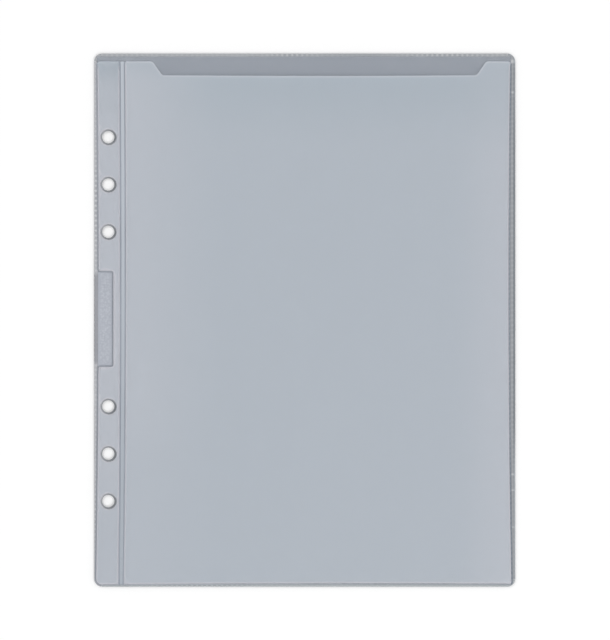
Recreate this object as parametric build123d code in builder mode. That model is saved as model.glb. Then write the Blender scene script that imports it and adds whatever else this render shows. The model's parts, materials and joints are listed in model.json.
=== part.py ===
from build123d import *
import os

# A page pocket for a six-ring organiser: two soft films welded together round their edges, with a
# punched binding margin on the left, a double weld line that folds, and a mouth along the top.
# Millimetres. X runs across the page to the right, Y runs up the page, Z is its thickness.
# The origin is the centre of the page's outline, on the underside of the rear film.

# Page outline and films
page_width = 169.0
page_height = 214.0
corner_radius = 3.2
film_thickness = 0.2
pocket_gap = 0.3

# Welds round the page, measured in from its outline: a flat land with a raised bead inside it
left_weld_width = 1.6
right_weld_width = 2.1
bottom_weld_width = 1.5
land_thickness = 0.2
bead_width = 0.6
bead_rise = 0.1
bead_round = 0.08

# Pressed hem along the top edge of the rear film
hem_width = 1.2
hem_thickness = 0.12

# Fold line beside the ring holes, and the seam that closes the pocket next to it
fold_from_edge = 10.7
seam_spacing = 1.8
fold_clearance = 0.1

# Ring holes, two groups of three on one line
hole_diameter = 5.0
hole_from_edge = 5.7
hole_centre_y = 0.4
hole_pitch = 19.0
hole_group_gap = 70.0
holes_in_group = 3

# Blank label panel pressed into the margin, against the left weld
label_reach = 7.7
label_height = 38.0
label_centre_y = 0.5
label_thickness = 0.35
label_bead_width = 0.5

# Mouth: the front film stops short of the rear one and has a shallow thumb cut
mouth_setback = 3.3
cut_depth = 5.6
cut_taper = 3.8
cut_radius = 2.0
cut_left_shoulder = 11.0
cut_right_shoulder = 9.6

# Lip: the stretch of front film under the thumb cut that lifts to open the pocket
lip_length = 40.0
lip_inset = 4.0
lip_side_clearance = 0.3
lip_hinge_clearance = 0.1

# Heights of the layers
front_low = film_thickness + pocket_gap
front_high = front_low + film_thickness
front_middle = (front_low + front_high) / 2
bead_high = front_high + bead_rise

# Edges of the page and of the weld strips
page_left = -page_width / 2
page_right = page_width / 2
page_bottom = -page_height / 2
page_top = page_height / 2
left_inner = page_left + left_weld_width
right_inner = page_right - right_weld_width
bottom_inner = page_bottom + bottom_weld_width
hem_inner = page_top - hem_width
mouth_y = page_top - mouth_setback

# Fold: a round bead on the hinge line, with the films cut back on both sides of it
fold_x = page_left + fold_from_edge
fold_radius = bead_high / 2
fold_relief = fold_radius + fold_clearance
margin_end = fold_x - fold_relief
pocket_start = fold_x + fold_relief
seam_x = fold_x + seam_spacing
seam_bead_start = seam_x - bead_width / 2
seam_bead_end = seam_x + bead_width / 2

# Ring hole centres, from the bottom hole to the top one
hole_x = page_left + hole_from_edge
hole_steps = [hole_group_gap / 2 + step * hole_pitch for step in range(holes_in_group)]
hole_rows = sorted([-step for step in hole_steps] + hole_steps)
hole_centres = [(hole_x, hole_centre_y + row) for row in hole_rows]

# Label panel
label_right = page_left + label_reach
label_low = label_centre_y - label_height / 2
label_high = label_centre_y + label_height / 2

# Thumb cut
cut_floor = mouth_y - cut_depth
cut_left = seam_x + cut_left_shoulder
cut_right = right_inner - cut_right_shoulder
cut_floor_left = cut_left + cut_taper
cut_floor_right = cut_right - cut_taper

# Lip and the slot that it lies in
lip_left = cut_floor_left + lip_inset
lip_right = cut_floor_right - lip_inset
lip_hinge_y = cut_floor - lip_length
lip_edge_radius = film_thickness / 2
slot_low = lip_hinge_y - lip_edge_radius - lip_hinge_clearance


def span(x_from, x_to, y_from, y_to, mode=Mode.ADD):
    """Rectangle between two pairs of sides, in the open sketch."""
    with Locations(((x_from + x_to) / 2, (y_from + y_to) / 2)):
        Rectangle(x_to - x_from, y_to - y_from, mode=mode)


def page_span(x_from, x_to, y_from, y_to):
    """The part of the round-cornered page outline that lies between two pairs of sides."""
    RectangleRounded(page_width, page_height, corner_radius)
    span(x_from, x_to, y_from, y_to, mode=Mode.INTERSECT)


def bead_top_edges(weld, along):
    """The long edges on top of a weld's bead, which are rounded off."""
    return weld.edges().group_by(Axis.Z)[-1].filter_by(along)


# Binding margin: the two films
with BuildPart() as rear_margin_film:
    with BuildSketch():
        page_span(page_left, margin_end, page_bottom, page_top)
        with Locations(*hole_centres):
            Circle(hole_diameter / 2, mode=Mode.SUBTRACT)
    extrude(amount=film_thickness)

with BuildPart() as front_margin_film:
    with BuildSketch(Plane.XY.offset(front_low)):
        span(left_inner, margin_end, bottom_inner, mouth_y)
        span(left_inner, label_right, label_low, label_high, mode=Mode.SUBTRACT)
        with Locations(*hole_centres):
            Circle(hole_diameter / 2, mode=Mode.SUBTRACT)
    extrude(amount=film_thickness)

# Binding margin: the welds, which lie on the rear film and close the front film's edges
with BuildPart() as left_edge_weld:
    with BuildSketch(Plane.XY.offset(film_thickness)):
        page_span(page_left, left_inner, page_bottom, hem_inner)
    extrude(amount=land_thickness)
    with BuildSketch(Plane.XY.offset(film_thickness)):
        span(left_inner - bead_width, left_inner, bottom_inner - bead_width, label_low)
        span(left_inner - bead_width, left_inner, label_high, mouth_y)
    extrude(amount=bead_high - film_thickness)
    fillet(bead_top_edges(left_edge_weld, Axis.Y), bead_round)

with BuildPart() as margin_bottom_weld:
    with BuildSketch(Plane.XY.offset(film_thickness)):
        page_span(left_inner, margin_end, page_bottom, bottom_inner)
    extrude(amount=land_thickness)
    with BuildSketch(Plane.XY.offset(film_thickness)):
        span(left_inner, margin_end, bottom_inner - bead_width, bottom_inner)
    extrude(amount=bead_high - film_thickness)
    fillet(bead_top_edges(margin_bottom_weld, Axis.X), bead_round)

with BuildPart() as margin_top_hem:
    with BuildSketch(Plane.XY.offset(film_thickness)):
        page_span(page_left, margin_end, hem_inner, page_top)
    extrude(amount=hem_thickness)

with BuildPart() as label_panel:
    with BuildSketch(Plane.XY.offset(film_thickness)):
        span(left_inner, label_right, label_low, label_high)
    extrude(amount=label_thickness)
    with BuildSketch(Plane.XY.offset(film_thickness)):
        span(left_inner, label_right, label_low, label_high)
        span(
            left_inner,
            label_right - label_bead_width,
            label_low + label_bead_width,
            label_high - label_bead_width,
            mode=Mode.SUBTRACT,
        )
    extrude(amount=bead_high - film_thickness)

# Fold weld: a round bead on the hinge line, with a web to the margin's rear film
with BuildPart() as fold_weld:
    with BuildSketch(Plane.XZ.offset(-page_top)):
        with Locations((fold_x, fold_radius)):
            Circle(fold_radius)
        span(margin_end, fold_x, 0, film_thickness)
    extrude(amount=page_height)

# Pocket: the two films
with BuildPart() as rear_pocket_film:
    with BuildSketch():
        page_span(pocket_start, page_right, page_bottom, page_top)
    extrude(amount=film_thickness)

with BuildPart() as front_pocket_film:
    with BuildSketch(Plane.XY.offset(front_low)) as front_outline:
        span(seam_bead_end, right_inner, bottom_inner, mouth_y)
        with BuildLine():
            Polyline(
                (cut_left, mouth_y),
                (cut_floor_left, cut_floor),
                (cut_floor_right, cut_floor),
                (cut_right, mouth_y),
                close=True,
            )
        make_face(mode=Mode.SUBTRACT)
        cut_corners = front_outline.vertices().filter_by_position(Axis.X, cut_left, cut_right)
        fillet(cut_corners.filter_by_position(Axis.Y, cut_floor, mouth_y), cut_radius)
        span(
            lip_left - lip_side_clearance,
            lip_right + lip_side_clearance,
            slot_low,
            mouth_y,
            mode=Mode.SUBTRACT,
        )
    extrude(amount=film_thickness)

# Pocket: the welds
with BuildPart() as pocket_seam_weld:
    with BuildSketch(Plane.XY.offset(film_thickness)):
        span(pocket_start, seam_bead_end, bottom_inner, mouth_y)
    extrude(amount=land_thickness)
    with BuildSketch(Plane.XY.offset(film_thickness)):
        span(seam_bead_start, seam_bead_end, bottom_inner, mouth_y)
    extrude(amount=bead_high - film_thickness)
    fillet(bead_top_edges(pocket_seam_weld, Axis.Y), bead_round)

with BuildPart() as right_edge_weld:
    with BuildSketch(Plane.XY.offset(film_thickness)):
        page_span(right_inner, page_right, page_bottom, hem_inner)
    extrude(amount=land_thickness)
    with BuildSketch(Plane.XY.offset(film_thickness)):
        span(right_inner, right_inner + bead_width, bottom_inner - bead_width, mouth_y)
    extrude(amount=bead_high - film_thickness)
    fillet(bead_top_edges(right_edge_weld, Axis.Y), bead_round)

with BuildPart() as bottom_edge_weld:
    with BuildSketch(Plane.XY.offset(film_thickness)):
        page_span(pocket_start, right_inner, page_bottom, bottom_inner)
    extrude(amount=land_thickness)
    with BuildSketch(Plane.XY.offset(film_thickness)):
        span(pocket_start, right_inner, bottom_inner - bead_width, bottom_inner)
    extrude(amount=bead_high - film_thickness)
    fillet(bead_top_edges(bottom_edge_weld, Axis.X), bead_round)

with BuildPart() as top_edge_hem:
    with BuildSketch(Plane.XY.offset(film_thickness)):
        page_span(pocket_start, page_right, hem_inner, page_top)
    extrude(amount=hem_thickness)

# Lip: its lower edge is round and turns on the lip's hinge line
with BuildPart() as mouth_lip:
    with BuildSketch(Plane.YZ.offset(lip_left)):
        span(lip_hinge_y, cut_floor, front_low, front_high)
        with Locations((lip_hinge_y, front_middle)):
            Circle(lip_edge_radius)
    extrude(amount=lip_right - lip_left)

pieces = {
    "rear_margin_film": rear_margin_film,
    "front_margin_film": front_margin_film,
    "left_edge_weld": left_edge_weld,
    "margin_bottom_weld": margin_bottom_weld,
    "margin_top_hem": margin_top_hem,
    "label_panel": label_panel,
    "fold_weld": fold_weld,
    "rear_pocket_film": rear_pocket_film,
    "front_pocket_film": front_pocket_film,
    "pocket_seam_weld": pocket_seam_weld,
    "right_edge_weld": right_edge_weld,
    "bottom_edge_weld": bottom_edge_weld,
    "top_edge_hem": top_edge_hem,
    "mouth_lip": mouth_lip,
}

os.makedirs("parts", exist_ok=True)
for name, piece in pieces.items():
    piece.part.label = name
    export_step(piece.part, f"parts/{name}.step")
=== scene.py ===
import json
import logging
import math
from collections.abc import Callable, Sequence
from dataclasses import dataclass, field, replace
from enum import Enum
from functools import cache

import bpy
import numpy as np
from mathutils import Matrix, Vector
from mathutils.geometry import delaunay_2d_cdt

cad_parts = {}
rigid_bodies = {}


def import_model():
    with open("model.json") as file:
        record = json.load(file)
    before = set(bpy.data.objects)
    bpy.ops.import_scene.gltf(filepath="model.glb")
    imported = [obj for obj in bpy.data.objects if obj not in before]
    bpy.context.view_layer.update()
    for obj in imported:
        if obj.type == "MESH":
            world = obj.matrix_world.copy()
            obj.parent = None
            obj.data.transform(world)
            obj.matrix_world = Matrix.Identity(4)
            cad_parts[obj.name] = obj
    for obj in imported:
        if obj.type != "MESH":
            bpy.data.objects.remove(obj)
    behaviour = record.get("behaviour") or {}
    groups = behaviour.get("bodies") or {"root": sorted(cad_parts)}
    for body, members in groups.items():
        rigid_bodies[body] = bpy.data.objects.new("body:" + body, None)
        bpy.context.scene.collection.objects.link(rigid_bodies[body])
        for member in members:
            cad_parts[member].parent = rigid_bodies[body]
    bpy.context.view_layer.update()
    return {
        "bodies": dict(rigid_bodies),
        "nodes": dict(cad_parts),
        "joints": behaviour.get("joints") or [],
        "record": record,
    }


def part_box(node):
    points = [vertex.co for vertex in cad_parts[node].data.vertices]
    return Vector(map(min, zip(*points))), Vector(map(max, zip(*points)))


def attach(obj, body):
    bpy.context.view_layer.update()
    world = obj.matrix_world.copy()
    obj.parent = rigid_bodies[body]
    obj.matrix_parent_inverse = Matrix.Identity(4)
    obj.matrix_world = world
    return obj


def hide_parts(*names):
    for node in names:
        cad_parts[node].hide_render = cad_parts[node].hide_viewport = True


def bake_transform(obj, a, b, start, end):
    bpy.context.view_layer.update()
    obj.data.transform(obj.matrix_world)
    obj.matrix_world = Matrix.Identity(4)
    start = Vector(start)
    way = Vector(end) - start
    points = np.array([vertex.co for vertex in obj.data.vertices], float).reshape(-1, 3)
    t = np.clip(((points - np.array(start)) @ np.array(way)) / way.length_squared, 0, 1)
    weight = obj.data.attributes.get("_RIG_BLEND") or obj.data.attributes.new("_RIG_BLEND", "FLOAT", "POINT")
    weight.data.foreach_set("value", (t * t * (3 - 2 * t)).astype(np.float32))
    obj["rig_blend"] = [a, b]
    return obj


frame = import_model()

log = logging.getLogger("sheet_protector")

MM = 0.001
LIP_INSET = 4 * MM
HOLE_SLACK = 0.33 * MM
CORNER_BITS = 9
CORNER_PASSES = 4
DOME_POWER = 0.8
SHARPEST_TURN = 0.5
INSIDE_ONLY = 1
POINTS_AT_ONCE = 800
TOUCHING = 1e-6
TINY = 1e-18
WHITE = (1.0, 1.0, 1.0, 1.0)
Colour = tuple[float, float, float]
Inputs = dict[str | int, object]
Path = np.ndarray
Tone = Callable[[Path], np.ndarray]


class Body(str, Enum):
    """The bodies that the page moves in."""

    MARGIN = "binding_margin"
    POCKET = "pocket"
    LIP = "mouth_lip"


class Slot(str, Enum):
    """The finishes that a scene can repaint."""

    REAR_FILM = "rear_film"
    FRONT_FILM = "front_film"
    WELD = "weld"
    HEM = "hem"
    LABEL = "label"


class Side(str, Enum):
    """The page's sides, counter-clockwise."""

    LEFT = "left"
    BOTTOM = "bottom"
    RIGHT = "right"
    TOP = "top"


def ease(share: np.ndarray) -> np.ndarray:
    """Smooth step from 0 to 1, level below 0 and above 1."""
    held = np.clip(share, 0.0, 1.0)
    return held * held * (3.0 - 2.0 * held)


def swing(angle: np.ndarray) -> np.ndarray:
    """From 1 at no turn to 0 at half a turn, and back."""
    return 0.5 + 0.5 * np.cos(angle)


@dataclass(frozen=True)
class Rise:
    """A smooth step along the page. A reach below 0 turns it round."""

    start: float
    reach: float
    height: float = 1.0

    def at(self, place: np.ndarray) -> np.ndarray:
        """How high it stands at each place."""
        return self.height * ease((place - self.start) / self.reach)


@dataclass(frozen=True)
class Swell:
    """A soft rise and fall along the page."""

    middle: float
    reach: float
    height: float = 1.0

    def at(self, place: np.ndarray) -> np.ndarray:
        """How high it stands at each place."""
        return self.height * np.exp(-(((place - self.middle) / self.reach) ** 2))


# Finishes


@dataclass(frozen=True)
class NodeBench:
    """The nodes of a finish, the table or the sky in the making."""

    tree: bpy.types.NodeTree

    def dress(self, node: bpy.types.Node, inputs: Inputs) -> bpy.types.Node:
        """Sets a node's inputs.

        Args:
            node: the node.
            inputs: for each input's name or number, its value or the socket that feeds it.

        Returns:
            The node.
        """
        for key, given in inputs.items():
            if isinstance(given, bpy.types.NodeSocket):
                self.tree.links.new(given, node.inputs[key])
            else:
                node.inputs[key].default_value = given
        return node

    def add(self, kind: str, inputs: Inputs) -> bpy.types.Node:
        """Adds a node of a kind and sets its inputs."""
        return self.dress(self.tree.nodes.new(f"ShaderNode{kind}"), inputs)

    def noise(self, place: bpy.types.NodeSocket, size: float, inputs: Inputs) -> bpy.types.NodeSocket:
        """A cloudy pattern with patches of a size."""
        return self.add("TexNoise", {"Vector": place, "Scale": 1.0 / size, **inputs}).outputs["Fac"]

    def sum(self, operation: str, first: bpy.types.NodeSocket, second: object) -> bpy.types.NodeSocket:
        """Works out a number from two others.

        Args:
            operation: what is done with them.
            first: the first one's socket.
            second: the second one, or its socket.

        Returns:
            The result's socket.
        """
        node = self.add("Math", {0: first, 1: second})
        node.operation = operation
        return node.outputs["Value"]


@dataclass(frozen=True)
class Finish:
    """A soft plastic finish with patches, grain and painted light: the rim attribute mixes it towards a
    lighter colour for painted highlights, and leaves it darker for painted shade.

    Colours are linear light. Sizes are in metres.
    """

    name: str
    colour: Colour
    painted_light_colour: Colour
    alpha: float
    roughness: float
    patch_lift: float | Colour = 0.03
    patch_size: float = 60 * MM
    patch_detail: float = 2.0
    patch_roughness: float = 0.6
    patch_range: tuple[float, float] = (0.3, 0.7)
    mark_share: float = 0.2
    mark_detail: float = 1.5
    mark_range: tuple[float, float] = (0.2, 0.8)
    mark_depth: float = 0.08
    drawn_out: float = 1.0
    grain_size: float = 1.6 * MM
    grain_detail: float = 3.0
    bump_height: float = 0.02 * MM
    bump_strength: float = 0.35
    specular: float = 0.4
    ior: float = 1.45

    @cache
    def material(self) -> bpy.types.Material:
        """Builds the material once.

        Returns:
            The finished material.
        """
        made = bpy.data.materials.new(f"{self.name}_finish")
        made.use_nodes = True
        bench = NodeBench(made.node_tree)
        place = bench.add("TexCoord", {}).outputs["Object"]
        drawn = bench.add("Mapping", {"Vector": place, "Scale": (1.0, self.drawn_out, 1.0)}).outputs["Vector"]
        look = {
            "Base Color": self._colour(bench, drawn),
            "Roughness": self._gloss(bench, drawn),
            "Normal": self._grain(bench, drawn),
            "Alpha": self.alpha,
            "IOR": self.ior,
            "Specular IOR Level": self.specular,
        }
        bench.dress(made.node_tree.nodes["Principled BSDF"], look)
        return made

    def _colour(self, bench: NodeBench, place: bpy.types.NodeSocket) -> bpy.types.NodeSocket:
        """The surface's colour: soft patches, mixed towards the painted-light colour by the rim attribute for
        painted highlights and shade.

        Args:
            bench: the material's nodes.
            place: the socket that gives places on the surface.

        Returns:
            The colour's socket.
        """
        cloud = {"Detail": self.patch_detail, "Roughness": self.patch_roughness}
        patches = bench.add("ValToRGB", {"Fac": bench.noise(place, self.patch_size, cloud)})
        colours = (self.colour, np.add(self.colour, self.patch_lift).tolist())
        for stop, position, colour in zip(patches.color_ramp.elements, self.patch_range, colours):
            stop.position = position
            stop.color = (*colour, 1.0)
        # The rim attribute carries painted light and shade from the mesh, with some plain tone.
        rim = bench.add("Attribute", {})
        rim.attribute_name = "rim"
        mix = bench.add("Mix", {})
        mix.data_type = "RGBA"
        patch, light = patches.outputs["Color"], (*self.painted_light_colour, 1.0)
        bench.dress(mix, {"Factor": rim.outputs["Fac"], "A": patch, "B": light})
        return mix.outputs["Result"]

    def _gloss(self, bench: NodeBench, place: bpy.types.NodeSocket) -> bpy.types.NodeSocket:
        """The surface's roughness, with handling marks.

        Args:
            bench: the material's nodes.
            place: the socket that gives places on the surface.

        Returns:
            The roughness's socket.
        """
        marks = bench.noise(place, self.patch_size * self.mark_share, {"Detail": self.mark_detail})
        spread = {
            "Value": marks,
            "From Min": self.mark_range[0],
            "From Max": self.mark_range[1],
            "To Min": self.roughness - self.mark_depth,
            "To Max": self.roughness + self.mark_depth,
        }
        node = bench.add("MapRange", spread)
        node.interpolation_type = "SMOOTHSTEP"
        return node.outputs["Result"]

    def _grain(self, bench: NodeBench, place: bpy.types.NodeSocket) -> bpy.types.NodeSocket:
        """The surface's fine peel, drawn out to streaks on the films.

        Args:
            bench: the material's nodes.
            place: the socket that gives places on the surface.

        Returns:
            The socket of the embossed surface's direction.
        """
        grain = bench.noise(place, self.grain_size, {"Detail": self.grain_detail})
        bump = {"Height": grain, "Strength": self.bump_strength, "Distance": self.bump_height}
        return bench.add("Bump", bump).outputs["Normal"]


# Film finishes: each painted-light colour is the painted highlight and reflection that the film's edges and
# tones are mixed towards.
REAR_FILM = Finish(
    name="rear_film",
    colour=(0.248, 0.289, 0.357),
    patch_lift=(0.012, 0.012, 0.011),
    painted_light_colour=(0.36, 0.40, 0.46),
    alpha=0.4,
    roughness=0.34,
    patch_size=34 * MM,
    patch_detail=7.0,
    mark_depth=0.02,
    drawn_out=0.07,
    specular=0.5,
)
FRONT_FILM = replace(
    REAR_FILM,
    name="front_film",
    colour=(0.639, 0.717, 0.792),
    patch_lift=(0.012, 0.01, 0.01),
    painted_light_colour=(0.94, 0.935, 1.0),
    roughness=0.3,
    bump_strength=0.25,
    specular=0.7,
)
MARGIN_FILM = replace(
    FRONT_FILM,
    name="margin_film",
    colour=(0.605, 0.675, 0.748),
    patch_lift=0.015,
    patch_size=22 * MM,
)
# Darker free cut edge: partly the cut film's own edge and partly painted shadow of the film's edge on the
# film beneath.
CUT_EDGE = Finish(
    name="cut_edge",
    colour=(0.40, 0.44, 0.50),
    patch_lift=0.05,
    painted_light_colour=(0.50, 0.54, 0.60),
    alpha=0.4,
    roughness=0.45,
)
WELD_LAND = Finish(
    name="weld_land",
    colour=(0.34, 0.37, 0.395),
    painted_light_colour=(0.56, 0.59, 0.61),
    alpha=0.9,
    roughness=0.42,
    patch_size=14 * MM,
    grain_size=0.5 * MM,
)
# Lit and shaded copies of the weld finish: the left strip is painted lighter and the right strip carries
# painted shade, as light falls from one side.
LIT_LEFT_LAND = replace(WELD_LAND, name="left_land", colour=(0.345, 0.355, 0.39), painted_light_colour=(0.66, 0.67, 0.70))
SHADED_RIGHT_LAND = replace(
    WELD_LAND,
    name="right_land",
    colour=(0.31, 0.325, 0.355),
    patch_lift=0.025,
    painted_light_colour=(0.58, 0.59, 0.61),
)
SHADED_RIGHT_EDGE = replace(
    WELD_LAND,
    name="right_edge",
    colour=(0.195, 0.215, 0.235),
    painted_light_colour=(0.43, 0.46, 0.49),
)
LIT_LEFT_EDGE = replace(WELD_LAND, name="left_edge", colour=(0.30, 0.30, 0.325), painted_light_colour=(0.645, 0.65, 0.675))
# Bead finishes: their dark tone is partly the fused bead's own colour and partly painted shade along each
# bead.
EDGE_BEAD = Finish(
    name="edge_bead",
    colour=(0.19, 0.22, 0.262),
    patch_lift=0.04,
    painted_light_colour=(0.38, 0.415, 0.46),
    alpha=0.96,
    roughness=0.34,
    patch_size=18 * MM,
    grain_size=0.6 * MM,
)
LEFT_BEAD = replace(EDGE_BEAD, name="left_bead", colour=(0.25, 0.275, 0.315), painted_light_colour=(0.46, 0.49, 0.54))
BOTTOM_BEAD = replace(
    EDGE_BEAD,
    name="bottom_bead",
    colour=(0.36, 0.39, 0.43),
    patch_lift=0.05,
    painted_light_colour=(0.50, 0.53, 0.57),
)
FOLD_BEAD = replace(
    EDGE_BEAD,
    name="fold_bead",
    colour=(0.30, 0.33, 0.385),
    patch_lift=(0.065, 0.07, 0.075),
    patch_size=30 * MM,
)
SEAM_BEAD = replace(FOLD_BEAD, name="seam_bead", colour=(0.30, 0.33, 0.38), patch_lift=(0.07, 0.075, 0.08))
SEAM_STRIP = Finish(
    name="seam_strip",
    colour=(0.45, 0.495, 0.55),
    painted_light_colour=(0.62, 0.665, 0.725),
    alpha=0.88,
    roughness=0.34,
    patch_size=20 * MM,
    grain_size=0.8 * MM,
)
TOP_HEM = Finish(
    name="top_hem",
    colour=(0.25, 0.275, 0.305),
    patch_lift=0.025,
    painted_light_colour=(0.775, 0.768, 0.767),
    alpha=0.98,
    roughness=0.44,
    patch_size=10 * MM,
    grain_size=0.5 * MM,
)
LABEL_FACE = Finish(
    name="label_face",
    colour=(0.43, 0.455, 0.515),
    painted_light_colour=(0.54, 0.57, 0.625),
    alpha=0.94,
    roughness=0.46,
    patch_size=9 * MM,
    grain_size=0.4 * MM,
)
# Dark ring round each hole: partly the punched rim's own colour and partly painted shade of the hole's edge;
# its lighter colour is a painted lit side.
HOLE_RIM = replace(
    EDGE_BEAD,
    name="hole_rim",
    colour=(0.15, 0.163, 0.18),
    patch_lift=0.03,
    painted_light_colour=(0.78, 0.80, 0.83),
    patch_size=6 * MM,
)


# Shapes


def steps(start: float, end: float, size: float) -> np.ndarray:
    """Evenly spaced places from start to end, both included, about a size apart."""
    count = max(1, round(abs(end - start) / size))
    return np.linspace(start, end, count + 1)


def grid(across: np.ndarray, up: np.ndarray) -> Path:
    """The points of a grid, row by row."""
    x, y = np.meshgrid(across, up)
    return np.column_stack((x.ravel(), y.ravel()))


def rounded(points: Sequence[tuple[float, float]], radii: Sequence[float], bits: int = 7) -> Path:
    """A path through points, with some of its corners rounded.

    Args:
        points: the path's corners.
        radii: each corner's radius, 0 where it stays sharp.
        bits: how many points make a rounded corner.

    Returns:
        The path's points.
    """
    made: list[np.ndarray] = []
    corners = np.asarray(points, float)
    for k, radius in enumerate(radii):
        here = corners[k]
        if radius <= 0.0 or k in (0, len(corners) - 1):
            made.append(here)
            continue
        back = corners[k - 1] - here
        on = corners[k + 1] - here
        back /= np.linalg.norm(back)
        on /= np.linalg.norm(on)
        half = math.acos(float(np.clip(back @ on, -1.0, 1.0))) / 2
        reach = radius / math.tan(half)
        middle = here + (back + on) / np.linalg.norm(back + on) * radius / math.sin(half)
        first = here + back * reach - middle
        last = here + on * reach - middle
        turn = math.atan2(first[0] * last[1] - first[1] * last[0], float(first @ last))
        for share in np.linspace(0.0, 1.0, bits):
            c, s = math.cos(turn * share), math.sin(turn * share)
            made.append(middle + np.array((c * first[0] - s * first[1], s * first[0] + c * first[1])))
    return np.array(made)


def ring(centre: tuple[float, float], radius: float, count: int = 48) -> Path:
    """A circle's points, clockwise."""
    angles = -np.arange(count) * 2 * math.pi / count
    return np.column_stack((centre[0] + radius * np.cos(angles), centre[1] + radius * np.sin(angles)))


def edge_distance(points: Path, loops: Sequence[Path]) -> np.ndarray:
    """How far points lie from the nearest edge.

    Args:
        points: the points.
        loops: closed outlines.

    Returns:
        Each point's distance.
    """
    best = np.full(len(points), np.inf)
    for loop in loops:
        step = np.roll(loop, -1, axis=0) - loop
        square = np.maximum((step * step).sum(axis=1), TINY)
        for some in np.array_split(np.arange(len(points)), len(points) // POINTS_AT_ONCE + 1):
            away = points[some][:, None, :] - loop[None, :, :]
            share = np.clip((away * step).sum(axis=-1) / square, 0.0, 1.0)
            gap = np.linalg.norm(away - share[..., None] * step, axis=-1)
            best[some] = np.minimum(best[some], gap.min(axis=1))
    return best


def within(points: Path, loop: Path) -> np.ndarray:
    """Which points lie inside a closed outline.

    Args:
        points: the points.
        loop: the outline.

    Returns:
        True for each point inside.
    """
    x, y = points[:, 0][:, None], points[:, 1][:, None]
    ax, ay = loop[:, 0], loop[:, 1]
    bx, by = np.roll(ax, -1), np.roll(ay, -1)
    rise = np.where(by == ay, TINY, by - ay)
    crossing = ((ay > y) != (by > y)) & (x < (bx - ax) * (y - ay) / rise + ax)
    return crossing.sum(axis=1) % 2 == 1


def run_along(path: Path) -> np.ndarray:
    """How far along a path each of its points lies."""
    return np.concatenate(((0.0,), np.cumsum(np.linalg.norm(np.diff(path, axis=0), axis=1))))


def resampled(path: Path, count: int) -> Path:
    """Evenly spaced points along a path, without its last one.

    Args:
        path: the path's points.
        count: how many points.

    Returns:
        The points.
    """
    run = run_along(path)
    places = np.arange(count) / count * run[-1]
    return np.column_stack((np.interp(places, run, path[:, 0]), np.interp(places, run, path[:, 1])))


def refined(path: Path, size: float) -> Path:
    """A path with its long steps split.

    Args:
        path: the path's points.
        size: about the longest step that stays.

    Returns:
        The path's points.
    """
    fine = [path[:1]]
    for here, there in zip(path[:-1], path[1:]):
        count = max(1, round(float(np.linalg.norm(there - here)) / size))
        share = np.arange(1, count + 1)[:, None] / count
        fine.append(here + (there - here) * share)
    return np.vstack(fine)


def sideways(path: Path) -> Path:
    """Directions to the left of a path, lengthened at corners so that a strip keeps its width.

    Args:
        path: the path's points.

    Returns:
        One direction for each point.
    """
    step = np.diff(path, axis=0)
    step /= np.linalg.norm(step, axis=1)[:, None]
    left = np.column_stack((-step[:, 1], step[:, 0]))
    before = np.vstack((left[:1], left))
    both = before + np.vstack((left, left[-1:]))
    return both / np.maximum((both * before).sum(axis=1), SHARPEST_TURN)[:, None]


def dome(across: np.ndarray) -> np.ndarray:
    """A half-round bead's height, from 1 at its middle to 0 at its sides, at -1 and 1."""
    return np.sqrt(np.maximum(0.0, 1.0 - across**2)) ** DOME_POWER


# The page's sizes


@dataclass(frozen=True)
class WeldLine:
    """A weld line along the page, which shrinkage has pulled a little towards the page's middle."""

    edge: float
    half: float
    shift: float
    bow: float
    lean: float

    @property
    def base(self) -> float:
        """Where the line lies at the page's middle."""
        return self.edge + self.shift

    def at(self, along: np.ndarray) -> np.ndarray:
        """The line's place across the page at places along it."""
        share = np.asarray(along) / self.half
        return self.base + self.bow * share * share + self.lean * share

    def upright(self, up: np.ndarray) -> Path:
        """The points of a line that runs up the page."""
        return np.column_stack((self.at(up), up))


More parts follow.
